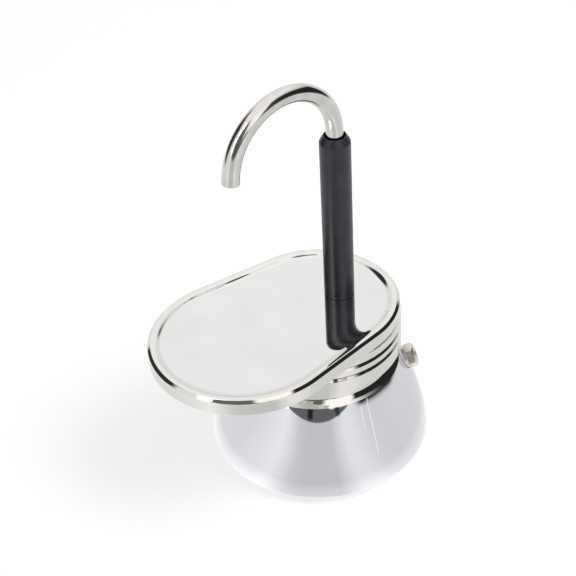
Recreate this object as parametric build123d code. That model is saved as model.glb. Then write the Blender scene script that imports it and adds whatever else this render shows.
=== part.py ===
from build123d import *
import math
import os

# Single-spout camping coffee maker (moka pot), millimetres, +Z up.
# Origin: centre of the boiler's foot. The cup platform reaches towards -X,
# and the boiler, the screw collar and the basket all turn about Z.

# boiler
sheet = 1.0                 # wall of the drawn shells
boiler_r = 40.3             # widest, just above the foot
foot_z = 4.2                # where the rounded foot ends
foot_round = 10.6           # radial reach of the rounded foot
belly_pull = 9.35           # how far the wall stays upright above the foot
neck_r = 29.95
neck_z = 36.8               # weld between bell and neck ring
neck_flare = 35.5           # wall angle from vertical at the weld, degrees
neck_pull = 6.7             # how far the wall holds that angle
bead_ring_r = 22.0          # outside of the stiffening ring pressed into the foot
bead_ring_width = 2.4
bead_ring_depth = 0.5
bead_ring_slope = 0.7

# neck, thread and screw collar
neck_cone_z = 39.5          # where the neck's cone meets the thread's root
neck_top = 52.8
neck_bore = 26.0
neck_bore_flare = 2.2       # height of the cone below the bore
thread_pitch = 3.0
thread_depth = 0.9
male_root = 27.4
female_root = 28.65
male_crest_width = 0.8
female_crest_width = 1.15
thread_spread = 0.9         # how much wider a tooth is at its root
tooth_sink = 0.3            # how far a tooth reaches into its own wall
thread_low = 44.6
thread_high = 52.5
collar_r = 30.6
collar_low = 43.35
groove_heights = (49.8, 53.6)
groove_width = 1.7
groove_depth = 1.0
groove_lip = 0.35           # rounding of each groove's two edges
collar_edge = 0.3

# cup platform
rim_r = 30.2                # end over the collar
cup_end_r = 33.9            # end under the cup
reach = 31.7                # between the two end centres
rim_top = 63.0
flat_z = 61.3
skirt_z = 57.2
bead_width = 5.0            # from the outside to the foot of the bead's inner side
bead_crown = 3.4            # from the outside to the steepest part of its inner side
bead_foot_rise = 0.26       # height of that foot above the flat
bead_foot_slope = 10.0      # degrees, easing out to the flat
dish_width = 8.0            # from the outside to where the flat begins
rim_bevel = 1.05            # soft bevel round the outer top edge
rim_ease = 0.4              # rounding at both ends of the bevel
rim_round = 1.8             # from the outside to the middle of the bead

# basket and seal
basket_r = 25.2
basket_wall = 0.8
basket_floor = 38.0
basket_corner = 3.0
basket_flange_r = 27.2
flange_thick = 0.8
sieve_lift = 2.3            # sieve above the basket floor
sieve_thick = 0.5
stem_r = 4.0
stem_wall = 0.6
stem_low = 6.0
stem_flare = 1.5
gasket_thick = 2.5
gasket_inner = 21.5
plate_thick = 0.6
plate_r = 26.9
hole_r = 0.55
hole_ring_step = 3.6

# coffee chamber under the platform
dome_sheet = 0.8
dome_r = 23.5
dome_flange_r = 27.7

# spout and its fittings
tube_r = 3.0
tube_wall = 0.5
spout_x = 10.3
spout_y = -1.35             # a little to one side of the tray's middle line
spout_turn = 1.45           # the arch's heading off that line, degrees
arch_r = 22.1
arch_z = 128.3
arch_sweep = 172.6          # degrees
spout_tail = 2.85
ferrule_r = 4.0
ferrule_flange_r = 4.6
ferrule_flange = 1.5
ferrule_low = 57.6
slip = 0.05                 # radial fit of parts that are pushed together
nut_flats = 11.0
seal_thick = 0.5
seal_r = 5.0

# handle sleeve
sleeve_r = 5.4
sleeve_low = 61.35
sleeve_top = 127.0
sleeve_chamfer = 2.4
sleeve_top_r = 4.0
sleeve_mouth_r = 3.65
sleeve_mouth_depth = 6.0

# safety valve, on its own axis out of the bell
valve_angle = -35.7         # round the boiler, degrees
valve_tilt = 19.0           # above horizontal, degrees
valve_seat_r = 32.5
valve_seat_z = 32.2
boss_r = 4.2
boss_out = 0.45
boss_in = 2.8
washer_r = 4.5
washer_thick = 0.35
hex_flats = 8.0
hex_length = 3.0
hex_bevel = 0.6             # along the axis
hex_bevel_in = 1.0          # towards the axis
hex_spin = -28.2
shank_r = 3.0
shank_in = 3.6
spring_bore = 2.1
seat_z = -1.8
seat_bore = 1.2
crimp_r = 2.8
crimp_length = 0.3
retainer_thick = 0.6
retainer_drop = 0.1         # below the crimp's end
stem_hole_r = 1.2
pin_r = 0.6
pin_drop = 0.6              # below the crimp's end
poppet_r = 1.9
poppet_thick = 0.8
poppet_seal_thick = 0.5
spring_wire = 0.2
spring_pitch = 0.8


def turned(points):
    """Solid of revolution from its (radius, height) outline."""
    return revolve(Plane.XZ * make_face(Polyline(*points, close=True)), Axis.Z)


def ring(outer, inner, low, high):
    return turned([(inner, low), (outer, low), (outer, high), (inner, high)])


def platform_outline(inset):
    """Two round ends joined by tangent sides, drawn in by inset."""
    near_end = Circle(rim_r - inset)
    cup_end = Pos(-reach, 0) * Circle(cup_end_r - inset)
    return make_hull([*near_end.edges(), *cup_end.edges()])


def bell_wall(inset):
    """Curved side of the bell, from the foot up to the neck weld."""
    angle = math.radians(neck_flare)
    top = (neck_r - inset * math.cos(angle), neck_z - inset * math.sin(angle))
    upper = (top[0] + neck_pull * math.sin(angle), top[1] - neck_pull * math.cos(angle))
    low_r = boiler_r - inset
    return Bezier((low_r, foot_z), (low_r, foot_z + belly_pull), upper, top)


def valve_place():
    """Frame on the bell: Z out of the wall, X up the wall."""
    around = math.radians(valve_angle)
    tilt = math.radians(valve_tilt)
    origin = (valve_seat_r * math.cos(around), valve_seat_r * math.sin(around), valve_seat_z)
    out = (math.cos(tilt) * math.cos(around), math.cos(tilt) * math.sin(around), math.sin(tilt))
    up = (-math.sin(tilt) * math.cos(around), -math.sin(tilt) * math.sin(around), math.cos(tilt))
    return Plane(origin=origin, x_dir=up, z_dir=out).location


def valve_hole():
    return valve_place() * Cylinder(boss_r, 2 * boss_r)


def boiler_bell():
    outer = bell_wall(0)
    inner = bell_wall(sheet)
    section = make_face([outer, inner, Line(outer @ 0, inner @ 0), Line(outer @ 1, inner @ 1)])
    shell = revolve(Plane.XZ * section, Axis.Z)
    return shell - valve_hole()


def boiler_base():
    flat_r = boiler_r - foot_round
    outside = EllipticalCenterArc((flat_r, foot_z), foot_round, foot_z, start_angle=270, arc_size=90)
    inner_reach = foot_round - sheet
    inside = EllipticalCenterArc((flat_r, foot_z), inner_reach, foot_z - sheet, start_angle=270, arc_size=90)
    ring_steps = [
        (bead_ring_r, 0),
        (bead_ring_r - bead_ring_slope, bead_ring_depth),
        (bead_ring_r - bead_ring_width + bead_ring_slope, bead_ring_depth),
        (bead_ring_r - bead_ring_width, 0),
        (0, 0),
    ]
    inner_steps = [(radius, height + sheet) for radius, height in reversed(ring_steps)]
    over = [outside @ 0, *ring_steps, *inner_steps, inside @ 0]
    section = make_face([outside, inside, Polyline(*over), Line(outside @ 1, inside @ 1)])
    return revolve(Plane.XZ * section, Axis.Z)


def thread_tooth(root_r, crest_r, crest_width, start_z):
    """Helical ridge on a round wall, swept longer than the thread and trimmed to it."""
    inwards = 1 if crest_r < root_r else -1
    height = thread_high - thread_low + 4 * thread_pitch
    path = Helix(thread_pitch, height, root_r, center=(0, 0, start_z))
    sunk_r = root_r + inwards * tooth_sink
    flank = thread_spread / 2 / thread_depth
    half_crest = crest_width / 2
    half_sunk = half_crest + flank * (thread_depth + tooth_sink)
    profile = Polyline(
        (sunk_r, 0, start_z - half_sunk),
        (crest_r, 0, start_z - half_crest),
        (crest_r, 0, start_z + half_crest),
        (sunk_r, 0, start_z + half_sunk),
        close=True,
    )
    ridge = sweep(make_face(profile), path=path, is_frenet=True)
    band = ring(max(sunk_r, crest_r) + 1, min(sunk_r, crest_r) - 1, thread_low, thread_high)
    return ridge & band


def neck_ring():
    angle = math.radians(neck_flare)
    weld_r = neck_r - sheet * math.cos(angle)
    weld_z = neck_z - sheet * math.sin(angle)
    body = turned([
        (neck_r, neck_z),
        (male_root, neck_cone_z),
        (male_root, neck_top),
        (neck_bore, neck_top),
        (neck_bore, neck_z + neck_bore_flare),
        (weld_r, weld_z),
    ])
    crest = male_root + thread_depth
    body -= valve_hole()
    return body + thread_tooth(male_root, crest, male_crest_width, thread_low - 2 * thread_pitch)


def collar():
    crest = female_root - thread_depth
    skirt_inner = rim_r - sheet - slip
    under_flat = flat_z - sheet
    body = turned([
        (female_root, collar_low),
        (collar_r - collar_edge, collar_low),
        (collar_r, collar_low + collar_edge),
        (collar_r, skirt_z),
        (skirt_inner, skirt_z),
        (skirt_inner, under_flat),
        (crest, under_flat),
        (crest, thread_high + 0.1),
        (female_root, thread_high + 0.1),
    ])
    for height in groove_heights:
        body -= ring(collar_r + 1, collar_r - groove_depth, height - groove_width / 2, height + groove_width / 2)
    lips = [e for e in body.edges().filter_by(GeomType.CIRCLE) if is_groove_lip(e)]
    body = fillet(lips, groove_lip)
    start = thread_low - 1.5 * thread_pitch
    return body + thread_tooth(female_root, crest, female_crest_width, start)


def is_groove_lip(edge):
    height = edge.center().Z
    on_side = abs(edge.radius - collar_r) < 0.01
    return on_side and min(groove_heights) - 2 < height < max(groove_heights) + 2


def rim_section():
    """Rolled rim as (inward distance, height): skirt, bead and the start of the flat."""
    under_round = rim_round - sheet
    ease_side = rim_ease / math.sqrt(2)
    bevel_low = rim_top - rim_bevel
    side = Line((0, skirt_z), (0, bevel_low - rim_ease))
    low_ease = Bezier(side @ 1, (0, bevel_low), (ease_side, bevel_low + ease_side))
    high_ease = Bezier((rim_bevel - ease_side, rim_top - ease_side), (rim_bevel, rim_top), (rim_bevel + rim_ease, rim_top))
    outer = [side, low_ease, Line(low_ease @ 1, high_ease @ 0), high_ease, Line(high_ease @ 1, (rim_round, rim_top))]
    bead = bead_inner_side(0)
    under = bead_inner_side(sheet)
    inner_round = CenterArc((rim_round, rim_top - rim_round), under_round, 90, 90)
    foot = Polyline(inner_round @ 1, (sheet, skirt_z), (0, skirt_z))
    return make_face([*outer, *bead, Line(bead[1] @ 1, under[1] @ 1), *under, inner_round, foot])


def bead_inner_side(below):
    """From the middle of the bead down to its foot, and the dish that eases out to the flat."""
    slope = math.radians(bead_foot_slope)
    inward = below / 2
    top = rim_top - below
    flat = flat_z - below
    foot = (bead_width - inward, flat + bead_foot_rise)
    steep = bead_crown - inward
    before = (steep + 0.2, foot[1] + (foot[0] - steep - 0.2) * math.tan(slope))
    middle = (foot[0] + bead_foot_rise / math.tan(slope), flat)
    bead = Bezier((rim_round, top), (steep, top), before, foot)
    dish = Bezier(foot, middle, (dish_width, flat))
    return bead, dish


def rim_end(radius, arc, turn):
    """Rim bent round one end of the platform, standing at the origin."""
    place = Plane(origin=(radius, 0, 0), x_dir=(-1, 0, 0), z_dir=(0, 1, 0))
    return Rot(0, 0, turn) * revolve(place * rim_section(), Axis.Z, revolution_arc=arc)


def cup_platform():
    touch = math.acos((cup_end_r - rim_r) / reach)
    half = math.degrees(touch)
    normal = Vector(math.cos(touch), math.sin(touch), 0)
    along = Vector(-math.sin(touch), math.cos(touch), 0)
    side_place = Plane(origin=normal * rim_r, x_dir=normal * -1, z_dir=along)
    side = extrude(side_place * rim_section(), reach * math.sin(touch), dir=along)
    near = rim_end(rim_r, 2 * half, -half)
    cup = Pos(-reach, 0, 0) * rim_end(cup_end_r, 360 - 2 * half, half)
    tray = Pos(0, 0, flat_z - sheet) * extrude(platform_outline(dish_width), sheet)
    hole = Pos(spout_x, spout_y, flat_z) * Cylinder(ferrule_r + slip, 10)
    return near + side + cup + side.mirror(Plane.XZ) + tray - hole


def perforated_disc(radius, thick, low, hole_limit):
    disc = Circle(radius)
    rings = int(hole_limit / hole_ring_step)
    for number in range(rings + 1):
        count = 6 * number if number else 1
        spots = PolarLocations(number * hole_ring_step, count) if number else Locations((0, 0))
        disc -= [spot * Circle(hole_r) for spot in spots]
    return Pos(0, 0, low) * extrude(disc, thick)


def basket_cup():
    inner = basket_r - basket_wall
    low = basket_floor
    top = neck_top + flange_thick
    outside = turned([(0, low), (basket_r, low), (basket_r, top), (0, top)])
    outside = fillet(outside.edges().group_by(Axis.Z)[0], basket_corner)
    inside = turned([(0, low + basket_wall), (inner, low + basket_wall), (inner, top), (0, top)])
    inside = fillet(inside.edges().group_by(Axis.Z)[0], basket_corner - basket_wall)
    flange = ring(basket_flange_r, basket_r - 0.1, neck_top, top)
    return outside - inside + flange - Cylinder(stem_r, 10 * basket_floor)


def basket_stem():
    inner = stem_r - stem_wall
    high = basket_floor + basket_wall
    return turned([
        (stem_r + stem_flare, stem_low),
        (stem_r, stem_low + 2 * stem_flare),
        (stem_r, high),
        (inner, high),
        (inner, stem_low + 2 * stem_flare),
        (inner + stem_flare, stem_low),
    ])


def basket_sieve():
    low = basket_floor + basket_wall + sieve_lift
    return perforated_disc(basket_r - basket_wall, sieve_thick, low, basket_r - 4)


def gasket():
    low = neck_top + flange_thick
    body = ring(basket_flange_r, gasket_inner, low, low + gasket_thick)
    return fillet(body.edges(), 0.3)


def filter_plate():
    low = neck_top + flange_thick + gasket_thick
    return perforated_disc(plate_r, plate_thick, low, gasket_inner - 1)


def chamber_dome():
    low = neck_top + flange_thick + gasket_thick + plate_thick
    high = flat_z - sheet
    pan = turned([
        (dome_r - dome_sheet, low),
        (dome_flange_r, low),
        (dome_flange_r, low + dome_sheet),
        (dome_r, low + dome_sheet),
        (dome_r, high),
        (0, high),
        (0, high - dome_sheet),
        (dome_r - dome_sheet, high - dome_sheet),
    ])
    return pan - Pos(spout_x, spout_y, high) * Cylinder(ferrule_r + slip, 10)


def spout_path():
    """Middle line of the tube, drawn with its upright part on Z."""
    middle = (-arch_r, 0, arch_z)
    rise = Line((0, 0, ferrule_low + 0.4), (0, 0, arch_z))
    bend_plane = Plane(origin=middle, x_dir=(1, 0, 0), z_dir=(0, -1, 0))
    bend = bend_plane * CenterArc((0, 0), arch_r, 0, arch_sweep)
    end = bend @ 1
    tail = Line(end, end + (bend % 1) * spout_tail)
    return Wire([*rise.edges(), *bend.edges(), *tail.edges()])


def spout_tube():
    path = spout_path()
    start = Plane(origin=path @ 0, z_dir=(0, 0, 1))
    section = Circle(tube_r) - Circle(tube_r - tube_wall)
    return Pos(spout_x, spout_y, 0) * Rot(0, 0, spout_turn) * sweep(start * section, path=path)


def tube_ferrule():
    flange_top = flat_z + ferrule_flange
    body = ring(ferrule_r, tube_r, ferrule_low, flat_z) + ring(ferrule_flange_r, tube_r, flat_z, flange_top)
    return Pos(spout_x, spout_y, 0) * body


def tube_seal():
    high = flat_z - sheet - dome_sheet
    return Pos(spout_x, spout_y, 0) * ring(seal_r, ferrule_r, high - seal_thick, high)


def tube_nut():
    high = flat_z - sheet - dome_sheet - seal_thick
    hexagon = RegularPolygon(nut_flats / 2, 6, major_radius=False) - Circle(ferrule_r)
    return Pos(spout_x, spout_y, ferrule_low) * extrude(hexagon, high - ferrule_low)


def handle_sleeve():
    top = sleeve_top
    recess_r_here = ferrule_flange_r + slip
    recess_top = flat_z + ferrule_flange + slip
    return Pos(spout_x, spout_y, 0) * turned([
        (recess_r_here, sleeve_low),
        (sleeve_r - 0.2, sleeve_low),
        (sleeve_r, sleeve_low + 0.2),
        (sleeve_r, top - sleeve_chamfer),
        (sleeve_top_r, top),
        (sleeve_mouth_r, top),
        (sleeve_mouth_r, top - sleeve_mouth_depth),
        (tube_r, top - sleeve_mouth_depth),
        (tube_r, recess_top),
        (recess_r_here, recess_top),
    ])


def valve_boss():
    return valve_place() * ring(boss_r, shank_r, -boss_in, boss_out)


def valve_washer():
    return valve_place() * ring(washer_r, shank_r, boss_out, boss_out + washer_thick)


def valve_body():
    low = boss_out + washer_thick
    hexagon = extrude(RegularPolygon(hex_flats / 2, 6, major_radius=False, rotation=hex_spin), hex_length)
    head = Pos(0, 0, low) * hexagon
    bevel_r = hex_flats / 2 / math.cos(math.pi / 6)
    top = low + hex_length
    bevel = turned([(0, low), (bevel_r, low), (bevel_r, top - hex_bevel), (bevel_r - hex_bevel_in, top), (0, top)])
    shank = turned([(0, -shank_in), (shank_r, -shank_in), (shank_r, low), (0, low)])
    crimp = turned([(0, top), (crimp_r, top), (crimp_r, top + crimp_length), (0, top + crimp_length)])
    spring_room = turned([(0, seat_z), (spring_bore, seat_z), (spring_bore, top + 9), (0, top + 9)])
    inlet = turned([(0, -9), (seat_bore, -9), (seat_bore, 0), (0, 0)])
    return valve_place() * ((head & bevel) + shank + crimp - spring_room - inlet)


def valve_retainer():
    top = boss_out + washer_thick + hex_length + crimp_length - retainer_drop
    return valve_place() * ring(spring_bore, stem_hole_r, top - retainer_thick, top)


def poppet_seal():
    return valve_place() * ring(poppet_r, pin_r, seat_z, seat_z + poppet_seal_thick)


def valve_poppet():
    low = seat_z + poppet_seal_thick
    end = boss_out + washer_thick + hex_length + crimp_length - pin_drop
    body = turned([
        (0, seat_z),
        (pin_r, seat_z),
        (pin_r, low),
        (poppet_r, low),
        (poppet_r, low + poppet_thick),
        (pin_r, low + poppet_thick),
        (pin_r, end - 0.2),
        (pin_r - 0.2, end),
        (0, end),
    ])
    return valve_place() * body


def valve_spring():
    low = seat_z + poppet_seal_thick + poppet_thick + spring_wire
    end = boss_out + washer_thick + hex_length + crimp_length
    high = end - retainer_drop - retainer_thick - spring_wire
    coil_r = (pin_r + spring_bore) / 2
    path = Helix(spring_pitch, high - low, coil_r, center=(0, 0, low))
    start = Plane(origin=path @ 0, z_dir=path % 0)
    return valve_place() * sweep(start * Circle(spring_wire), path=path, is_frenet=True)


nodes = {
    "boiler_bell": boiler_bell,
    "boiler_base": boiler_base,
    "neck_ring": neck_ring,
    "valve_boss": valve_boss,
    "valve_washer": valve_washer,
    "valve_body": valve_body,
    "valve_retainer": valve_retainer,
    "valve_spring": valve_spring,
    "valve_poppet": valve_poppet,
    "poppet_seal": poppet_seal,
    "basket_cup": basket_cup,
    "basket_sieve": basket_sieve,
    "basket_stem": basket_stem,
    "gasket": gasket,
    "filter_plate": filter_plate,
    "collar": collar,
    "chamber_dome": chamber_dome,
    "cup_platform": cup_platform,
    "spout_tube": spout_tube,
    "tube_ferrule": tube_ferrule,
    "tube_seal": tube_seal,
    "tube_nut": tube_nut,
    "handle_sleeve": handle_sleeve,
}

os.makedirs("parts", exist_ok=True)
for name, make in nodes.items():
    solid = make()
    export_step(solid, f"parts/{name}.step")
    print(f"{name}: {solid.volume:.1f} mm3, valid {solid.is_valid}")
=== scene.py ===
import bpy
import bmesh
import math
from mathutils import Matrix, Vector


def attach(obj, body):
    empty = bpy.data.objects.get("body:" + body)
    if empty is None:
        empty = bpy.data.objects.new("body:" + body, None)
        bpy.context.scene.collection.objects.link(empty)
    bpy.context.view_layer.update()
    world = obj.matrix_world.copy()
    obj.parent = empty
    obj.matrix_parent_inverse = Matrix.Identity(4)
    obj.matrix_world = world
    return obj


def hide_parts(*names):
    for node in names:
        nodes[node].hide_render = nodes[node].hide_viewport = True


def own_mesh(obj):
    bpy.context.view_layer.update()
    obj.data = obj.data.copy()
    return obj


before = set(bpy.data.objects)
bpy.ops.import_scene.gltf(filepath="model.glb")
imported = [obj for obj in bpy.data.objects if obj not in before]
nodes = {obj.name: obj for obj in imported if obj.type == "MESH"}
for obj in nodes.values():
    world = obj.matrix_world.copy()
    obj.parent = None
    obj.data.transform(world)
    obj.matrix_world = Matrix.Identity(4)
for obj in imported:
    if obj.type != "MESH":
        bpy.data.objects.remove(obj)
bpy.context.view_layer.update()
mm = 0.001   # the shapes below are in millimetres, the finishes' heights in metres


# nodes for the finishes

def startMaterial(name):
    mat = bpy.data.materials.new(name)
    mat.use_nodes = True
    tree = mat.node_tree
    return mat, tree, tree.nodes["Principled BSDF"], tree.nodes.new("ShaderNodeTexCoord")


def addNode(tree, kind, **values):
    node = tree.nodes.new(kind)
    for key, value in values.items():
        setattr(node, key, value)
    return node


def stretched(tree, place, scale=(1, 1, 1)):
    # the piece's own coordinates in millimetres, stretched for brushed lines where the scale is uneven
    mapping = addNode(tree, "ShaderNodeMapping")
    mapping.inputs["Scale"].default_value = [s / mm for s in scale]
    tree.links.new(place.outputs["Object"], mapping.inputs["Vector"])
    return mapping.outputs["Vector"]


def noise(tree, vector, size, detail, rough=0.5):
    tex = addNode(tree, "ShaderNodeTexNoise")
    tex.inputs["Scale"].default_value = 1.0 / size
    tex.inputs["Detail"].default_value = detail
    tex.inputs["Roughness"].default_value = rough
    tree.links.new(vector, tex.inputs["Vector"])
    return tex.outputs["Fac"]


cloudRange = (0.35, 0.65)   # the part of the noise that the tones and the gloss are spread over


def spread(tree, value, low, high, span=cloudRange):
    node = addNode(tree, "ShaderNodeMapRange")
    node.inputs["From Min"].default_value, node.inputs["From Max"].default_value = span
    node.inputs["To Min"].default_value = low
    node.inputs["To Max"].default_value = high
    tree.links.new(value, node.inputs["Value"])
    return node.outputs["Result"]


def twoTone(tree, value, first, second):
    ramp = addNode(tree, "ShaderNodeValToRGB")
    for stop, position, colour in zip(ramp.color_ramp.elements, cloudRange, (first, second)):
        stop.position = position
        stop.color = (*colour, 1)
    tree.links.new(value, ramp.inputs["Fac"])
    return ramp.outputs["Color"]


def dent(tree, height, depth):
    bump = addNode(tree, "ShaderNodeBump")
    bump.inputs["Strength"].default_value = 1.0
    bump.inputs["Distance"].default_value = depth * mm
    tree.links.new(height, bump.inputs["Height"])
    return bump.outputs["Normal"]


def heightTint(tree, place, colour, tint):
    # multiplies a colour by one tint close to a height and by another away from it
    parts = addNode(tree, "ShaderNodeSeparateXYZ")
    offset = addNode(tree, "ShaderNodeMath", operation="SUBTRACT")
    size = addNode(tree, "ShaderNodeMath", operation="ABSOLUTE")
    pick = addNode(tree, "ShaderNodeMix", data_type="RGBA")
    product = addNode(tree, "ShaderNodeMix", data_type="RGBA", blend_type="MULTIPLY")
    offset.inputs[1].default_value = tint["height"]
    pick.inputs[6].default_value = (*tint["here"], 1)
    pick.inputs[7].default_value = (*tint["away"], 1)
    product.inputs[0].default_value = 1.0
    tree.links.new(place.outputs["Object"], parts.inputs[0])
    tree.links.new(parts.outputs["Z"], offset.inputs[0])
    tree.links.new(offset.outputs[0], size.inputs[0])
    tree.links.new(spread(tree, size.outputs[0], 0.0, 1.0, tint["fade"]), pick.inputs[0])
    tree.links.new(colour, product.inputs[6])
    tree.links.new(pick.outputs[2], product.inputs[7])
    return product.outputs[2]


def makeFinish(name, look):
    # cloudy colour and gloss over a fine grain; cloud and grain give the noise's size, detail and roughness
    mat, tree, shader, place = startMaterial(name)
    cloud = noise(tree, stretched(tree, place), *look["cloud"])
    grain = noise(tree, stretched(tree, place, look.get("lines", (1, 1, 1))), *look["grain"])
    colour = twoTone(tree, cloud, look["dark"], look["light"])
    for tint in look.get("tints", ()):
        colour = heightTint(tree, place, colour, tint)
    tree.links.new(colour, shader.inputs["Base Color"])
    tree.links.new(spread(tree, cloud, *look["rough"]), shader.inputs["Roughness"])
    tree.links.new(dent(tree, grain, look["depth"]), shader.inputs["Normal"])
    for socket, value in look["sockets"].items():
        shader.inputs[socket].default_value = value
    if "Anisotropic" in look["sockets"]:   # smeared round the axis, as turning leaves it
        tangent = addNode(tree, "ShaderNodeTangent", direction_type="RADIAL", axis="Z")
        tree.links.new(tangent.outputs["Tangent"], shader.inputs["Tangent"])
    return mat


# polished steel of the collar, neck and tray, and the duller steel round the valve
plain = (1, 1, 1)
steel = {"Metallic": 1.0}
polish = {"light": (0.835, 0.835, 0.825), "dark": (0.81, 0.81, 0.80), "rough": (0.03, 0.05),
          "cloud": (14.0, 4.0), "grain": (0.35, 2.0), "depth": 0.0005, "sockets": steel}
paintedGrooveShade = {"here": (0.42, 0.33, 0.26), "away": plain, "fade": (0.00014, 0.0002)}   # painted shade: thin brown lines of shade deep in the grooves, under their upper lips
# the collar's two height tints are painted shade in its grooves
collarLook = {**polish, "light": (0.84, 0.825, 0.80), "dark": (0.81, 0.795, 0.77), "rough": (0.05, 0.09),
              "depth": 0.0008,
              "tints": ({"height": 0.05350, **paintedGrooveShade}, {"height": 0.04978, **paintedGrooveShade})}
# the tray's flat stays neutral, and the metal above and below it is a little warmer
trayLook = {**polish, "tints": ({"height": 0.0613, "here": plain, "away": (1.0, 0.975, 0.945),
                                 "fade": (0.0001, 0.0006)},)}
seatLook = {**polish, "light": (0.84, 0.84, 0.86), "dark": (0.80, 0.80, 0.82), "rough": (0.38, 0.48),
            "depth": 0.001}
neckLook = {**polish, "light": (0.83, 0.82, 0.80), "dark": (0.80, 0.79, 0.77), "rough": (0.04, 0.06)}
mirrorSteel = makeFinish("mirrorSteel", polish)
collarSteel = makeFinish("collarSteel", collarLook)
neckSteel = makeFinish("neckSteel", neckLook)
traySteel = makeFinish("traySteel", trayLook)
seatSteel = makeFinish("seatSteel", seatLook)

# the spun bell, with fine rings
bellLook = {"light": (0.80, 0.81, 0.84), "dark": (0.78, 0.79, 0.82), "rough": (0.05, 0.07),
            "cloud": (18.0, 3.0), "grain": (0.25, 3.0), "lines": (0.04, 0.04, 1), "depth": 0.0004,
            "sockets": {"Metallic": 1.0, "Anisotropic": 0.3}}
bellSteel = makeFinish("bellSteel", bellLook)

# the bent tube and the valve's spring
tubeLook = {"light": (0.77, 0.755, 0.73), "dark": (0.69, 0.675, 0.65), "rough": (0.10, 0.16),
            "cloud": (5.0, 4.0), "grain": (0.25, 2.0), "depth": 0.002, "sockets": steel}
tubeSteel = makeFinish("tubeSteel", tubeLook)

# pressed and turned pieces inside
innerLook = {"light": (0.66, 0.66, 0.65), "dark": (0.56, 0.56, 0.55), "rough": (0.28, 0.4),
             "cloud": (8.0, 4.0), "grain": (0.3, 2.0), "depth": 0.003, "sockets": steel}
innerSteel = makeFinish("innerSteel", innerLook)

# matt black sleeve
sleeveLook = {"light": (0.019, 0.017, 0.027), "dark": (0.010, 0.009, 0.015), "rough": (0.30, 0.37),
              "cloud": (6.0, 3.0), "grain": (0.28, 3.0, 0.6), "depth": 0.017,
              "sockets": {"Specular IOR Level": 0.45}}
sleeveBlack = makeFinish("sleeveBlack", sleeveLook)

# plated valve
nickelLook = {"light": (0.87, 0.83, 0.75), "dark": (0.78, 0.73, 0.65), "rough": (0.24, 0.34),
              "cloud": (2.5, 4.0), "grain": (0.2, 2.0), "depth": 0.002, "sockets": steel}
valveNickel = makeFinish("valveNickel", nickelLook)

# gasket and seals
siliconeLook = {"light": (0.86, 0.85, 0.81), "dark": (0.78, 0.77, 0.73), "rough": (0.42, 0.55),
                "cloud": (4.0, 3.0), "grain": (0.3, 2.0), "depth": 0.008,
                "sockets": {"Subsurface Weight": 0.2, "Subsurface Scale": 0.001}}
siliconeWhite = makeFinish("siliconeWhite", siliconeLook)
print("finishes ready")

nodeFinish = {
    "boiler_bell": bellSteel, "boiler_base": bellSteel, "neck_ring": mirrorSteel,
    "valve_boss": seatSteel, "valve_washer": seatSteel, "valve_body": valveNickel,
    "valve_retainer": valveNickel, "valve_spring": tubeSteel, "valve_poppet": valveNickel,
    "poppet_seal": siliconeWhite, "basket_cup": innerSteel, "basket_sieve": innerSteel,
    "basket_stem": innerSteel, "gasket": siliconeWhite, "filter_plate": innerSteel,
    "collar": mirrorSteel, "chamber_dome": innerSteel, "cup_platform": mirrorSteel,
    "spout_tube": tubeSteel, "tube_ferrule": innerSteel, "tube_seal": siliconeWhite,
    "tube_nut": innerSteel, "handle_sleeve": sleeveBlack,
}
for nodeName, finish in nodeFinish.items():
    nodes[nodeName].material_slots[0].material = finish
print("CAD nodes finished")


# meshes

def meshObject(name, verts, faces, finish, normals=None):
    mesh = bpy.data.meshes.new(name)
    mesh.from_pydata([tuple(v) for v in verts], [], faces)
    mesh.materials.append(finish)
    if normals is not None:
        mesh.shade_smooth()
        mesh.normals_split_custom_set_from_vertices([tuple(n) for n in normals])
    mesh.update()
    return linked(name, mesh)


def linked(name, data):
    obj = bpy.data.objects.new(name, data)
    bpy.context.scene.collection.objects.link(obj)
    return obj


def eased(corners, steps=5):
    # a closed outline from (across, up, rounding) corners, each rounded by its own size
    points = []
    count = len(corners)
    for i, (x, y, size) in enumerate(corners):
        here = Vector((x, y))
        if size <= 0:
            points.append(here)
            continue
        before = (Vector(corners[i - 1][:2]) - here).normalized() * size
        after = (Vector(corners[(i + 1) % count][:2]) - here).normalized() * size
        for k in range(steps + 1):
            t = k / steps
            points.append(here + before * (1 - t) ** 2 + after * t ** 2)
    return points


def bezier(points, steps):
    found = []
    for k in range(steps + 1):
        row = [Vector(p) for p in points]
        while len(row) > 1:
            row = [a.lerp(b, k / steps) for a, b in zip(row, row[1:])]
        found.append(row[0])
    return found


def quarter(steps):
    # the angles of a quarter turn
    return [math.pi / 2 * k / steps for k in range(steps + 1)]


def outlineNormals(points):
    # outward normals of a closed outline that runs with its solid on the left
    count = len(points)
    found = []
    for i in range(count):
        total = Vector((0, 0))
        for a, b in ((i - 1, i), (i, (i + 1) % count)):
            run = points[b] - points[a]
            total += Vector((run.y, -run.x))
        found.append(total.normalized())
    return found


def pierced(verts, normals, faces, size, inside):
    # leaves an opening through both walls of a shell, closes its edges and drops what nothing uses
    gone = {n for n, face in enumerate(faces)
            if n % size < size // 2 - 1 and all(inside(verts[v]) for v in face)}
    runs = {(faces[n][m - 1], faces[n][m]) for n in gone for m in range(4)}

    def across(n, last):
        return n - n % size + last - n % size   # the same place on the other wall

    kept = [face for n, face in enumerate(faces) if n not in gone and across(n, size - 2) not in gone]
    rim = [run for run in sorted(runs) if run[::-1] not in runs]
    kept += [(a, b, across(b, size - 1), across(a, size - 1)) for a, b in rim]
    used = sorted({v for face in kept for v in face})
    index = {v: n for n, v in enumerate(used)}
    faces = [tuple(index[v] for v in face) for face in kept]
    return [verts[v] for v in used], [normals[v] for v in used], faces


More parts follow.
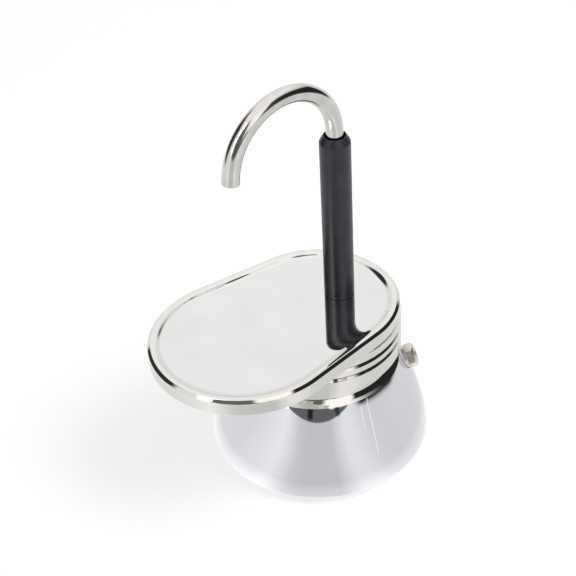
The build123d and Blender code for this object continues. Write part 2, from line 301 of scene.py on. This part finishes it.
def loft(name, outline, place, around, finish, inside=None):
    # sweeps the closed outline round: place(k, point, normal) gives each vertex and its normal
    normals2d = outlineNormals(outline)
    verts, normals, faces = [], [], []
    for k in range(around):
        for point, normal in zip(outline, normals2d):
            spot, facing = place(k, point, normal)
            verts.append(spot)
            normals.append(facing)
    size = len(outline)
    for k in range(around):
        here, there = k * size, ((k + 1) % around) * size
        for i in range(size):
            j = (i + 1) % size
            faces.append((here + i, there + i, there + j, here + j))
    if inside:
        verts, normals, faces = pierced(verts, normals, faces, size, inside)
    return meshObject(name, verts, faces, finish, normals)


def lathe(name, outline, axis, finish, count, inside=None):
    # turns a (radius, height) outline round an upright axis
    def place(k, point, normal):
        c, s = math.cos(k * math.tau / count), math.sin(k * math.tau / count)
        spot = Vector((point.x * c + axis[0], point.x * s + axis[1], point.y)) * mm
        return spot, Vector((normal.x * c, normal.x * s, normal.y))

    return loft(name, outline, place, count, finish, inside)


crispShare = 0.04   # how far along its first and last run an open outline gets another point


def crispEnds(points):
    # a point close to each end keeps the shading true right up to a sharp edge
    first = points[0].lerp(points[1], crispShare)
    last = points[-2].lerp(points[-1], 1 - crispShare)
    return [points[0], first] + points[1:-1] + [last, points[-1]]


# boiler: the bell, its foot, the threaded neck and the valve's spring

bellShape = {"belly": 40.3, "foot": 4.2, "pull": 9.35, "neck": 29.95, "weld": 36.8, "flare": 35.5,
             "hold": 6.7, "sheet": 1.0, "steps": 72, "around": 256}
# where the safety valve goes through the bell's wall
valveShape = {"around": -35.7, "tilt": 19.0, "reach": 32.5, "height": 32.2, "opening": 4.1}


def valveAxis():
    # the valve's seat and the direction out of the bell
    p = valveShape
    around, tilt = math.radians(p["around"]), math.radians(p["tilt"])
    seat = Vector((p["reach"] * math.cos(around), p["reach"] * math.sin(around), p["height"])) * mm
    out = Vector((math.cos(tilt) * math.cos(around), math.cos(tilt) * math.sin(around), math.sin(tilt)))
    return seat, out


def inValveHole(spot):
    # the opening in the bell's wall, whose edge is hidden in the valve's boss
    seat, out = valveAxis()
    along = (spot - seat).dot(out)
    ownSide = along > -valveShape["reach"] / 2 * mm
    return ownSide and (spot - seat - out * along).length < valveShape["opening"] * mm


def weldPoint(inset):
    # where the bell's wall ends at the neck
    angle = math.radians(bellShape["flare"])
    return bellShape["neck"] - inset * math.cos(angle), bellShape["weld"] - inset * math.sin(angle)


def bellWall(inset):
    p = bellShape
    angle = math.radians(p["flare"])
    top = weldPoint(inset)
    upper = (top[0] + p["hold"] * math.sin(angle), top[1] - p["hold"] * math.cos(angle))
    low = p["belly"] - inset
    return crispEnds(bezier([(low, p["foot"]), (low, p["foot"] + p["pull"]), upper, top], p["steps"]))


def makeBell():
    outline = bellWall(0) + bellWall(bellShape["sheet"])[::-1]
    bell = lathe("bell", outline, (0, 0), bellSteel, bellShape["around"], inValveHole)
    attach(bell, "boiler")
    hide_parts("boiler_bell")


baseShape = {"reach": 10.6, "ring": 22.0, "ringWidth": 2.4, "ringDepth": 0.5, "ringSlope": 0.7,
             "ringEase": 0.2, "shoulder": 0.3, "pinhole": 0.02, "roundSteps": 24, "around": 256}


def footRound(inset):
    # the rounded corner from the underside up to the bell
    p = baseShape
    flat = bellShape["belly"] - p["reach"]
    across, tall = p["reach"] - inset, bellShape["foot"] - inset
    return crispEnds([Vector((flat + across * math.sin(a), bellShape["foot"] - tall * math.cos(a)))
                      for a in quarter(p["roundSteps"])])


def underside(up):
    # the flat under the boiler with its pressed ring, from the ring in to the middle
    p = baseShape
    inner = p["ring"] - p["ringWidth"]
    return eased([(p["ring"] + p["shoulder"], up, 0), (p["ring"], up, p["ringEase"]),
                  (p["ring"] - p["ringSlope"], p["ringDepth"] + up, p["ringEase"]),
                  (inner + p["ringSlope"], p["ringDepth"] + up, p["ringEase"]),
                  (inner, up, p["ringEase"]), (p["pinhole"], up, 0)], 3)


def makeBase():
    sheet = bellShape["sheet"]
    outline = underside(0)[::-1] + footRound(0) + footRound(sheet)[::-1] + underside(sheet)
    base = lathe("boilerBase", outline, (0, 0), bellSteel, baseShape["around"])
    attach(base, "boiler")
    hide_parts("boiler_base")


threadShape = {"pitch": 3.0, "depth": 0.9, "low": 44.6, "high": 52.5, "spread": 0.45, "sink": 0.2,
               "steps": 96, "fadeSteps": 10, "neckHalf": 0.4, "collarHalf": 0.55, "collarStart": 1.2}


def makeThread(name, root, crest, half, start, finish, body):
    # one helical ridge with tapering ends, outwards or inwards from its root
    p = threadShape
    turns = (p["high"] - p["low"]) / p["pitch"]
    count = int(turns * p["steps"])
    sign = 1 if crest > root else -1
    verts, faces = [], []
    for k in range(count + 1):
        angle = math.tau * k / p["steps"]
        height = p["low"] + half + start + (turns * p["pitch"] - 2 * half) * k / count
        grow = min(1.0, k / p["fadeSteps"], (count - k) / p["fadeSteps"])
        tip = root + (crest - root) * grow
        inside = root - sign * p["sink"]
        section = ((inside, -half - p["spread"]), (tip, -half), (tip, half), (inside, half + p["spread"]))
        for radius, up in section:
            verts.append(Vector((radius * math.cos(angle), radius * math.sin(angle), height + up)) * mm)
    for k in range(count):
        for i in range(4):
            j = (i + 1) % 4
            faces.append((4 * k + i, 4 * k + 4 + i, 4 * k + 4 + j, 4 * k + j))
    faces += [(0, 1, 2, 3), (4 * count + 3, 4 * count + 2, 4 * count + 1, 4 * count)]
    if sign < 0:
        faces = [f[::-1] for f in faces]
    ridge = meshObject(name, verts, faces, finish)
    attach(ridge, body)


neckShape = {"cone": 39.05, "flare": 0.8, "flareOut": 1.18, "flareEase": 0.4, "root": 27.4, "top": 52.8,
             "bore": 26.0, "boreFlare": 2.2, "weldEase": 0.05, "coneEase": 0.5, "topEase": 0.2,
             "boreEase": 0.4, "around": 256}


def makeNeck():
    p = neckShape
    foot, weld = bellShape["neck"], bellShape["weld"]
    corners = [
        (*weldPoint(bellShape["sheet"]), 0), (foot, weld, p["weldEase"]),
        (foot - p["flareOut"], weld + p["flare"], p["flareEase"]), (p["root"], p["cone"], p["coneEase"]),
        (p["root"], p["top"], p["topEase"]), (p["bore"], p["top"], p["topEase"]),
        (p["bore"], weld + p["boreFlare"], p["boreEase"]),
    ]
    neck = lathe("neck", eased(corners), (0, 0), neckSteel, p["around"])
    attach(neck, "boiler")
    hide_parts("neck_ring")
    crest, half = p["root"] + threadShape["depth"], threadShape["neckHalf"]
    makeThread("neckThread", p["root"], crest, half, 0.0, neckSteel, "boiler")


springShape = {"coil": 1.35, "wire": 0.2, "turns": 4.375, "low": -0.3, "high": 3.2, "lift": 1.0,
               "steps": 28, "sides": 8}


def makeSpring():
    # a closed coil round the poppet's pin; on the pot it shortens as the poppet lifts, but this mesh stays
    # as made
    p = springShape
    seat, out = valveAxis()
    side = out.orthogonal().normalized()
    count = round(p["turns"] * p["steps"])
    sides = p["sides"]
    rise = (p["high"] - p["low"]) / count
    slope = math.atan2(rise * p["steps"], math.tau * p["coil"])
    verts, normals, faces = [], [], []
    for k in range(count + 1):
        turn = math.tau * k / p["steps"]
        away = side * math.cos(turn) + out.cross(side) * math.sin(turn)
        upright = out * math.cos(slope) - out.cross(away) * math.sin(slope)
        middle = seat + (out * (p["low"] + rise * k) + away * p["coil"]) * mm
        for m in range(sides):
            facing = away * math.cos(math.tau * m / sides) + upright * math.sin(math.tau * m / sides)
            verts.append(middle + facing * p["wire"] * mm)
            normals.append(facing)
    for k in range(count):
        for m in range(sides):
            a, b = k * sides + m, k * sides + (m + 1) % sides
            faces.append((a, b, b + sides, a + sides))
    faces += [tuple(range(sides))[::-1], tuple(range(count * sides, (count + 1) * sides))]
    spring = meshObject("valveSpring", verts, faces, tubeSteel, normals)
    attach(spring, "boiler")
    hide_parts("valve_spring")
    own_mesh(spring)


makeBell()
makeBase()
makeNeck()
makeSpring()
print("boiler made")

# screw collar

collarShape = {"radius": 30.6, "low": 43.35, "skirt": 57.2, "inner": 28.65, "under": 60.3, "seat": 29.15,
               "bore": 27.75, "step": 52.6, "lowEase": 0.35, "mouthEase": 0.2, "topEase": 0.15, "edge": 0.1,
               "grooves": ((48.65, 50.55), (52.4, 54.27)), "grooveDeep": 0.95, "grooveTurn": 0.5,
               "grooveDrop": 0.15, "grooveEase": 0.12, "cornerEase": 0.08, "lip": 0.22, "around": 256}


def makeCollar():
    # each groove runs in under a sharp upper lip, and its lower side slopes back out
    p = collarShape
    bottom = p["radius"] - p["grooveDeep"]
    corners = [(p["inner"], p["low"], p["mouthEase"]), (p["radius"], p["low"], p["lowEase"])]
    for low, high in p["grooves"]:
        corners += [(p["radius"], low, p["lip"]), (bottom, high - p["grooveTurn"], p["grooveEase"]),
                    (bottom, high - p["grooveDrop"], p["cornerEase"]), (p["radius"], high, p["edge"])]
    corners += [(p["radius"], p["skirt"], p["topEase"]), (p["seat"], p["skirt"], 0),
                (p["seat"], p["under"], 0), (p["bore"], p["under"], p["edge"]),
                (p["bore"], p["step"], p["edge"]), (p["inner"], p["step"], p["edge"])]
    collar = lathe("screwCollar", eased(corners, 6), (0, 0), collarSteel, p["around"])
    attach(collar, "head")
    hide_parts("collar")
    crest, half = p["inner"] - threadShape["depth"], threadShape["collarHalf"]
    start = threadShape["collarStart"]
    makeThread("collarThread", p["inner"], crest, half, start, collarSteel, "head")


makeCollar()
print("collar made")

# handle sleeve, chamfered at the top and recessed over the nut at its foot

tubeAxis = (10.3, -1.35)
sleeveShape = {"radius": 5.4, "low": 61.35, "top": 127.0, "chamfer": 2.4, "topRadius": 4.0, "mouth": 3.65,
               "mouthDepth": 6.0, "bore": 3.02, "recess": 4.65, "recessTop": 62.85, "footEase": 0.35,
               "softEdge": 0.5, "lip": 0.18, "mouthEase": 0.15, "edge": 0.1, "boreEase": 0.05, "around": 96}


def makeSleeve():
    p = sleeveShape
    step = p["top"] - p["mouthDepth"]
    corners = [
        (p["recess"], p["low"], p["edge"]), (p["radius"], p["low"], p["footEase"]),
        (p["radius"], p["top"] - p["chamfer"], p["softEdge"]), (p["topRadius"], p["top"], p["lip"]),
        (p["mouth"], p["top"], p["mouthEase"]), (p["mouth"], step, p["edge"]),
        (p["bore"], step, p["boreEase"]), (p["bore"], p["recessTop"], p["edge"]),
        (p["recess"], p["recessTop"], p["edge"]),
    ]
    sleeve = lathe("handleSleeve", eased(corners, 6), tubeAxis, sleeveBlack, p["around"])
    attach(sleeve, "head")
    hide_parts("handle_sleeve")


makeSleeve()
print("sleeve made")

# spout tube: straight up, over the arch and a short way down

spoutShape = {"turn": 1.45, "start": 58.0, "archHeight": 128.3, "archRadius": 22.1, "sweep": 172.6,
              "tail": 2.85, "radius": 3.0, "wall": 0.5, "lip": 0.14, "lipLead": 1.0, "lipSteps": 4,
              "bendSteps": 120, "around": 64}


def spoutFrame(along):
    # centre, direction and inward side of the tube at a distance along it, in millimetres
    p = spoutShape
    rise = p["archHeight"] - p["start"]
    bend = math.radians(p["sweep"])
    arc = bend * p["archRadius"]
    foot = Vector((*tubeAxis, 0))
    heading = Vector((-math.cos(math.radians(p["turn"])), -math.sin(math.radians(p["turn"])), 0))
    upright = Vector((0, 0, 1))
    if along <= rise:
        return foot + upright * (p["start"] + along), upright, heading
    turn = min((along - rise) / p["archRadius"], bend)
    hub = foot + heading * p["archRadius"] + upright * p["archHeight"]
    out = upright * math.sin(turn) - heading * math.cos(turn)
    ahead = upright * math.cos(turn) + heading * math.sin(turn)
    extra = max(0.0, along - rise - arc)
    return hub + out * p["archRadius"] + ahead * extra, ahead, -out


def makeSpout():
    # the outline is (radius, distance along): up the outside, round the lip and back down the inside
    p = spoutShape
    rise = p["archHeight"] - p["start"]
    arc = math.radians(p["sweep"]) * p["archRadius"]
    outer, inner, lip = p["radius"], p["radius"] - p["wall"], p["lip"]
    lipStart = rise + arc + p["tail"] - lip
    turns = quarter(p["lipSteps"])
    stations = [0.0, rise * 0.5] + [rise + arc * k / p["bendSteps"] for k in range(p["bendSteps"] + 1)]
    outline = [(outer, s) for s in stations] + [(outer, lipStart - p["lipLead"])]
    outline += [(outer - lip + lip * math.cos(a), lipStart + lip * math.sin(a)) for a in turns]
    outline += [(inner + lip - lip * math.sin(a), lipStart + lip * math.cos(a)) for a in turns]
    outline += [(inner, s) for s in reversed(stations)]
    count = p["around"]

    def place(k, point, normal):
        centre, ahead, inwards = spoutFrame(point.y)
        angle = k * math.tau / count
        radial = inwards * math.cos(angle) + ahead.cross(inwards) * math.sin(angle)
        return (centre + radial * point.x) * mm, radial * normal.x + ahead * normal.y

    tube = loft("spoutTube", [Vector(point) for point in outline], place, count, tubeSteel)
    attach(tube, "head")
    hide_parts("spout_tube")


makeSpout()
print("spout made")

# cup platform: an oval tray with a rolled rim, a bead inside it, a dish and a skirt

platformShape = {"nearRadius": 30.2, "cupRadius": 33.9, "reach": 31.7, "top": 63.0, "flat": 61.3,
                 "skirt": 57.2, "sheet": 1.0, "edge": 0.22, "bevel": 1.05, "ease": 0.24, "crown": 1.8,
                 "steep": 3.4, "beadFoot": 5.0, "footRise": 0.36, "footSlope": 10.0, "footLead": 0.2,
                 "footHold": 1.3, "dish": 11.5, "dishHold": 3.5, "hole": 4.05, "nearSteps": 96,
                 "cupSteps": 144, "sideSteps": 6, "holeSteps": 64, "beadSteps": 28, "dishSteps": 24,
                 "rimSteps": 8, "edgeSteps": 4}


def ovalStations():
    # once round the oval: (centre x, radius, angle)
    p = platformShape
    near, cup, reach = p["nearRadius"], p["cupRadius"], p["reach"]
    touch = math.acos((cup - near) / reach)
    shares = [k / p["sideSteps"] for k in range(1, p["sideSteps"])]

    def side(share, angle):
        return -reach * share, near + (cup - near) * share, angle

    stations = [(0.0, near, -touch + 2 * touch * k / p["nearSteps"]) for k in range(p["nearSteps"] + 1)]
    stations += [side(t, touch) for t in shares]
    stations += [(-reach, cup, touch + (math.tau - 2 * touch) * k / p["cupSteps"])
                 for k in range(p["cupSteps"] + 1)]
    stations += [side(1 - t, -touch) for t in shares]
    return stations


def beadSide(below):
    # middle of the bead down to its foot, then the dish easing out to the flat
    p = platformShape
    slope = math.tan(math.radians(p["footSlope"]))
    lead, hold = p["footLead"], p["footHold"]
    top, flat = p["top"] - below, p["flat"] - below
    foot = (p["beadFoot"] - below / 2, flat + p["footRise"])
    steep = p["steep"] - below / 2
    before = (steep + lead, foot[1] + (foot[0] - steep - lead) * slope)
    after = (foot[0] + hold, foot[1] - hold * slope)
    bead = bezier([(p["crown"], top), (steep, top), before, foot], p["beadSteps"])
    dish = bezier([foot, after, (p["dish"] - p["dishHold"], flat), (p["dish"], flat)], p["dishSteps"])
    return bead + dish[1:]


def traySection():
    # (inwards, up) from the skirt's inner edge over the rim to the flat, and back under the sheet; then
    # the place in the list where the underside starts
    p = platformShape
    top, skirt, crown, bevel = p["top"], p["skirt"], p["crown"], p["bevel"]
    sheet, edge, ease = p["sheet"], p["edge"], p["ease"]
    slant = ease / math.sqrt(2)
    low = top - bevel
    over = bezier([(sheet, skirt + edge), (sheet, skirt), (sheet - edge, skirt)], p["edgeSteps"])
    over += bezier([(edge, skirt), (0, skirt), (0, skirt + edge)], p["edgeSteps"])
    over += bezier([(0, low - ease), (0, low), (slant, low + slant)], p["rimSteps"])
    over += bezier([(bevel - slant, top - slant), (bevel, top), (bevel + ease, top)], p["rimSteps"])
    over += beadSide(0)
    under = beadSide(sheet)[::-1]
    under += [Vector((crown - (crown - sheet) * math.sin(a), top - crown + (crown - sheet) * math.cos(a)))
              for a in quarter(p["rimSteps"])[1:]]
    return over + under, len(over)


def ringEdges(shape, ring):
    return [shape.edges.get(pair) for pair in zip(ring, ring[1:] + ring[:1])]


def holeRings(shape):
    # the bored hole for the tube: its rim on the flat, its rim below, and the wall between them
    p = platformShape
    count = p["holeSteps"]
    rings = []
    for height in (p["flat"], p["flat"] - p["sheet"]):
        rings.append([])
        for i in range(count):
            across, along = math.cos(i * math.tau / count), math.sin(i * math.tau / count)
            spot = Vector((tubeAxis[0] + p["hole"] * across, tubeAxis[1] + p["hole"] * along, height))
            rings[-1].append(shape.verts.new(spot * mm))
    for i in range(count):
        j = (i + 1) % count
        shape.faces.new([rings[0][j], rings[0][i], rings[1][i], rings[1][j]])
    return rings


def makePlatform():
    section, underStart = traySection()
    topEnd = underStart - 1
    mirrored = [Vector((-v.x, v.y)) for v in section]   # (outwards, up) has the sheet on its left
    facing = outlineNormals(mirrored)
    facing[topEnd], facing[underStart] = Vector((0, 1)), Vector((0, -1))
    stations = ovalStations()
    size, count = len(section), len(stations)
    shape = bmesh.new()
    made, normals = [], []
    for centre, radius, angle in stations:
        c, s = math.cos(angle), math.sin(angle)
        for point, normal in zip(mirrored, facing):
            spot = Vector((centre + (radius + point.x) * c, (radius + point.x) * s, point.y))
            made.append(shape.verts.new(spot * mm))
            normals.append(Vector((normal.x * c, normal.x * s, normal.y)))
    for k in range(count):
        here, there = k * size, (k + 1) % count * size
        for i in range(size):
            j = (i + 1) % size
            if i != topEnd:   # the section is open between its ends on the flat
                shape.faces.new([made[v] for v in (here + i, there + i, there + j, here + j)])
    upper, lower = holeRings(shape)
    for ring, end, up in ((upper, topEnd, 1), (lower, underStart, -1)):
        edges = ringEdges(shape, ring) + ringEdges(shape, made[end::size])
        bmesh.ops.triangle_fill(shape, use_beauty=True, edges=edges, normal=(0, 0, up))
    bmesh.ops.recalc_face_normals(shape, faces=shape.faces)
    shape.verts.index_update()
    mesh = bpy.data.meshes.new("cupPlatform")
    shape.to_mesh(mesh)
    shape.free()
    mesh.materials.append(traySteel)
    mesh.shade_smooth()
    normals += [Vector((0, 0, 1))] * len(upper) + [Vector((0, 0, -1))] * len(lower)
    mesh.normals_split_custom_set_from_vertices([tuple(n) for n in normals])
    platform = linked("cupPlatform", mesh)
    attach(platform, "head")
    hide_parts("cup_platform")


makePlatform()
print("platform made")

# studio: what the metal mirrors all the way round, as (degrees round Z from +X, level); the floor also
# shows these levels as painted light and shade

roomLevels = [
    (-180, 0.93), (-168, 1.0), (-160, 0.88), (-152, 0.72), (-143, 0.65), (-118, 0.66), (-112, 0.78),
    (-104, 0.93), (-96, 0.93), (-88, 0.87), (-78, 0.77), (-64, 0.75), (-36, 0.78), (0, 0.82), (60, 0.88),
    (110, 0.84), (160, 0.84), (180, 0.93),
]


def roomRamp(tree, place):
    # level by direction round the pot, from the x and y of a point or a direction
    turn = addNode(tree, "ShaderNodeTexGradient", gradient_type="RADIAL")
    ramp = addNode(tree, "ShaderNodeValToRGB")
    tree.links.new(place, turn.inputs["Vector"])
    tree.links.new(turn.outputs["Fac"], ramp.inputs["Fac"])
    stops = ramp.color_ramp.elements
    while len(stops) > 1:
        stops.remove(stops[0])
    stops[0].position = 1.0
    stops[0].color = (roomLevels[-1][1],) * 3 + (1,)
    for around, level in roomLevels[:-1]:
        stop = stops.new((around + 180) / 360)
        stop.color = (level, level, level, 1)
    return ramp.outputs["Color"]


def bareMaterial(name):
    # a material with nothing but its output
    mat = bpy.data.materials.new(name)
    mat.use_nodes = True
    tree = mat.node_tree
    tree.nodes.remove(tree.nodes["Principled BSDF"])
    return mat, tree, tree.nodes["Material Output"].inputs["Surface"]


def mixed(tree, share, first, second):
    mix = addNode(tree, "ShaderNodeMixShader")
    for source, socket in zip((share, first, second), mix.inputs):
        tree.links.new(source, socket)
    return mix.outputs[0]


def inReflections(tree, path):
    shiny = addNode(tree, "ShaderNodeMath", operation="ADD", use_clamp=True)
    tree.links.new(path.outputs["Is Glossy Ray"], shiny.inputs[0])
    tree.links.new(path.outputs["Is Transmission Ray"], shiny.inputs[1])
    return shiny.outputs[0]


# in metres; keep is the share of its shading that the camera sees, over plain white. In reflections the
# floor is a glow of
# painted light and shade: its level changes round the pot, and it is lighter close round the foot
floorLook = {"radius": 4.0, "sides": 96, "drop": 0.0001, "colour": (0.93, 0.93, 0.93), "keep": 0.34,
             "near": 0.034, "far": 0.06, "glow": 1.42}


def makeFloor():
    p = floorLook
    mat, tree, surface = bareMaterial("paleFloor")
    place = addNode(tree, "ShaderNodeNewGeometry")
    diffuse = addNode(tree, "ShaderNodeBsdfDiffuse")
    diffuse.inputs["Color"].default_value = (*p["colour"], 1)
    white = addNode(tree, "ShaderNodeEmission")
    white.inputs["Strength"].default_value = 1.0
    away = addNode(tree, "ShaderNodeVectorMath", operation="LENGTH")
    tree.links.new(place.outputs["Position"], away.inputs[0])
    # painted light and shade: the glow that reflections see, lighter near the foot and levelled round the
    # pot
    glow = spread(tree, away.outputs["Value"], p["glow"], 1.0, (p["near"], p["far"]))
    room = addNode(tree, "ShaderNodeEmission")
    tree.links.new(glow, room.inputs["Strength"])
    tree.links.new(roomRamp(tree, place.outputs["Position"]), room.inputs["Color"])
    path = addNode(tree, "ShaderNodeLightPath")
    seen = addNode(tree, "ShaderNodeMath", operation="MULTIPLY", use_clamp=True)
    seen.inputs[1].default_value = 1 - p["keep"]
    tree.links.new(path.outputs["Is Camera Ray"], seen.inputs[0])
    toCamera = mixed(tree, seen.outputs[0], diffuse.outputs[0], white.outputs[0])
    tree.links.new(mixed(tree, inReflections(tree, path), toCamera, room.outputs[0]), surface)
    angles = [i * math.tau / p["sides"] for i in range(p["sides"])]
    verts = [(p["radius"] * math.cos(a), p["radius"] * math.sin(a), -p["drop"]) for a in angles]
    floor = meshObject("floor", verts, [tuple(range(p["sides"]))], mat)


makeFloor()

worldLook = {"light": 0.72}   # the camera itself sees the world at full strength


def makeWorld():
    world = bpy.data.worlds.new("softRoom")
    bpy.context.scene.world = world
    world.use_nodes = True
    tree = world.node_tree
    even = tree.nodes["Background"]
    even.inputs["Color"].default_value = (1, 1, 1, 1)
    path = addNode(tree, "ShaderNodeLightPath")
    strength = spread(tree, path.outputs["Is Camera Ray"], worldLook["light"], 1.0, (0.0, 1.0))
    tree.links.new(strength, even.inputs["Strength"])
    place = addNode(tree, "ShaderNodeTexCoord")
    room = addNode(tree, "ShaderNodeBackground")
    tree.links.new(roomRamp(tree, place.outputs["Generated"]), room.inputs["Color"])
    both = mixed(tree, inReflections(tree, path), even.outputs[0], room.outputs[0])
    tree.links.new(both, tree.nodes["World Output"].inputs["Surface"])


makeWorld()

middle = Vector((0.0, 0.0, 0.04))   # the point that cards and lamp face, in metres


def towards(around, above):
    a, e = math.radians(around), math.radians(above)
    return Vector((math.cos(a) * math.cos(e), math.sin(a) * math.cos(e), math.sin(e)))


def cardFinish(name, level, colour, oval, soft):
    # a glowing sheet that fades out at its edges, from the card's own x and y of -1 to 1
    mat, tree, surface = bareMaterial(name)
    glow = addNode(tree, "ShaderNodeEmission")
    glow.inputs["Color"].default_value = (*colour, 1)
    glow.inputs["Strength"].default_value = level
    clear = addNode(tree, "ShaderNodeBsdfTransparent")
    place = addNode(tree, "ShaderNodeTexCoord")

    def fade(value, share):
        edge = addNode(tree, "ShaderNodeMapRange", interpolation_type="SMOOTHSTEP")
        edge.inputs["From Min"].default_value = 1 - share
        edge.inputs["To Min"].default_value = 1.0
        edge.inputs["To Max"].default_value = 0.0
        tree.links.new(value, edge.inputs["Value"])
        return edge.outputs["Result"]

    shown = addNode(tree, "ShaderNodeMath", operation="MULTIPLY", use_clamp=True)
    if oval:
        reach = addNode(tree, "ShaderNodeVectorMath", operation="LENGTH")
        tree.links.new(place.outputs["Object"], reach.inputs[0])
        tree.links.new(fade(reach.outputs["Value"], soft[0]), shown.inputs[0])
        shown.inputs[1].default_value = 1.0
    else:
        size = addNode(tree, "ShaderNodeVectorMath", operation="ABSOLUTE")
        parts = addNode(tree, "ShaderNodeSeparateXYZ")
        tree.links.new(place.outputs["Object"], size.inputs[0])
        tree.links.new(size.outputs["Vector"], parts.inputs[0])
        tree.links.new(fade(parts.outputs["X"], soft[0]), shown.inputs[0])
        tree.links.new(fade(parts.outputs["Y"], soft[1]), shown.inputs[1])
    tree.links.new(mixed(tree, shown.outputs[0], clear.outputs[0], glow.outputs[0]), surface)
    return mat


def reflectedOnly(card):
    card.visible_camera = False
    card.visible_diffuse = False
    card.visible_shadow = False
    card.visible_transmission = False


def makeCard(name, around, above, distance, wide, tall, level, colour=(1, 1, 1), oval=False,
             soft=(0.3, 0.3), roll=0):
    # a studio card that only reflections see; wide and tall are degrees seen from the pot
    finish = cardFinish(name, level, colour, oval, soft)
    card = meshObject(name, [(-1, -1, 0), (1, -1, 0), (1, 1, 0), (-1, 1, 0)], [(0, 1, 2, 3)], finish)
    back = towards(around, above)
    lean = Matrix.Rotation(math.radians(roll), 3, back)
    side = lean @ Vector((0, 0, 1)).cross(back).normalized()
    up = back.cross(side) * distance * math.tan(math.radians(tall / 2))
    side *= distance * math.tan(math.radians(wide / 2))
    place = Matrix((side, up, back)).transposed().to_4x4()
    place.translation = middle + back * distance
    card.matrix_world = place
    reflectedOnly(card)


studioCards = [
    {"name": "ceilingSoft", "around": 53, "above": 84, "distance": 1.0, "wide": 80, "tall": 80,
     "level": 1.06, "soft": (0.5, 0.5)},
    {"name": "backSoft", "around": 48, "above": 46, "distance": 0.98, "wide": 70, "tall": 44,
     "level": 0.985, "colour": (0.985, 1.0, 1.005), "soft": (0.6, 0.5)},
    {"name": "leftFlag", "around": 122, "above": 22, "distance": 0.9, "wide": 54, "tall": 60,
     "level": 0.03},
    {"name": "leftSoft", "around": 188, "above": 40, "distance": 0.88, "wide": 26, "tall": 46,
     "level": 3.4, "colour": (1.0, 0.985, 0.97), "soft": (0.5, 0.4)},
    {"name": "rightSoft", "around": 260, "above": 45.5, "distance": 0.62, "wide": 38, "tall": 46,
     "level": 1.2, "colour": (1.0, 0.98, 0.945), "soft": (0.35, 0.18)},
    {"name": "rightFlag", "around": 312, "above": 29, "distance": 0.84, "wide": 68, "tall": 54,
     "level": 0.02, "soft": (0.35, 0.45), "roll": -17},
    {"name": "rightFlagEnd", "around": 346, "above": 19, "distance": 0.83, "wide": 54, "tall": 48,
     "level": 0.02, "soft": (0.5, 0.45), "roll": -17},
    {"name": "lensOpening", "around": 229, "above": 33, "distance": 0.66, "wide": 70, "tall": 52,
     "level": 0.14, "oval": True, "soft": (0.04, 0.04)},
    {"name": "lensBarLeft", "around": 220, "above": 26, "distance": 0.65, "wide": 7, "tall": 38,
     "level": 0.02},
    {"name": "lensBarRight", "around": 252, "above": 26, "distance": 0.65, "wide": 6, "tall": 34,
     "level": 0.04},
]
for card in studioCards:
    makeCard(**card)

# thin lit gaps between the floor sheets, which run on up the far side: (x, y, z, half width) in millimetres
litGaps = {
    "gapLong": ((12, -85, 0.3, 0.5), (252, -804, 0.3, 9), (260, -790, 78, 8), (269, -786, 161, 8),
                (310, -768, 300, 7)),
    "gapShort": ((30, -265, 0.3, 0.4), (60, -444, 0.3, 3), (122, -815, 0.3, 6.5), (135, -822, 102, 6.5),
                 (146, -819, 184, 6.5), (172, -812, 230, 6)),
}
gapLook = {"level": 1.06, "across": (0.95, 0.3)}


def makeGap(name, spots):
    across = Vector((*gapLook["across"], 0)).normalized()
    verts = []
    for x, y, z, half in spots:
        spot = Vector((x, y, z)) * mm
        verts += [spot - across * half * mm, spot + across * half * mm]
    faces = [(2 * i, 2 * i + 1, 2 * i + 3, 2 * i + 2) for i in range(len(spots) - 1)]
    finish, tree, surface = bareMaterial(name)
    glow = addNode(tree, "ShaderNodeEmission")
    glow.inputs["Strength"].default_value = gapLook["level"]
    tree.links.new(glow.outputs[0], surface)
    reflectedOnly(meshObject(name, verts, faces, finish))


for gapName, gapSpots in litGaps.items():
    makeGap(gapName, gapSpots)

lampLook = {"around": 300, "above": 55, "distance": 1.1, "size": 0.55, "power": 9.0}


def makeLamp():
    data = bpy.data.lights.new("softBox", "AREA")
    data.shape = "SQUARE"
    data.size = lampLook["size"]
    data.energy = lampLook["power"]
    lamp = linked("softBox", data)
    back = towards(lampLook["around"], lampLook["above"])
    lamp.location = middle + back * lampLook["distance"]
    lamp.rotation_euler = back.to_track_quat("Z", "Y").to_euler()
    lamp.visible_glossy = False


makeLamp()
print("studio ready")

# camera, in metres and degrees

cameraPlace = {"spot": (-0.253242, -0.316267, 0.381281), "azimuth": -37.093, "elevation": 37.627,
               "roll": -3.458, "lens": 90.479, "shift": (0.00953, -0.00336), "sensor": 36,
               "clip": (0.01, 20)}


def makeCamera():
    data = bpy.data.cameras.new("camera")
    data.sensor_width = cameraPlace["sensor"]
    data.lens = cameraPlace["lens"]
    data.shift_x, data.shift_y = cameraPlace["shift"]
    data.clip_start, data.clip_end = cameraPlace["clip"]
    camera = linked("camera", data)
    turn = Matrix.Rotation(math.radians(cameraPlace["azimuth"]), 4, "Z")
    lean = Matrix.Rotation(math.radians(90 - cameraPlace["elevation"]), 4, "X")
    roll = Matrix.Rotation(math.radians(cameraPlace["roll"]), 4, "Z")
    camera.matrix_world = Matrix.Translation(cameraPlace["spot"]) @ turn @ lean @ roll
    bpy.context.scene.camera = camera


makeCamera()
bpy.context.scene.view_settings.view_transform = "Standard"
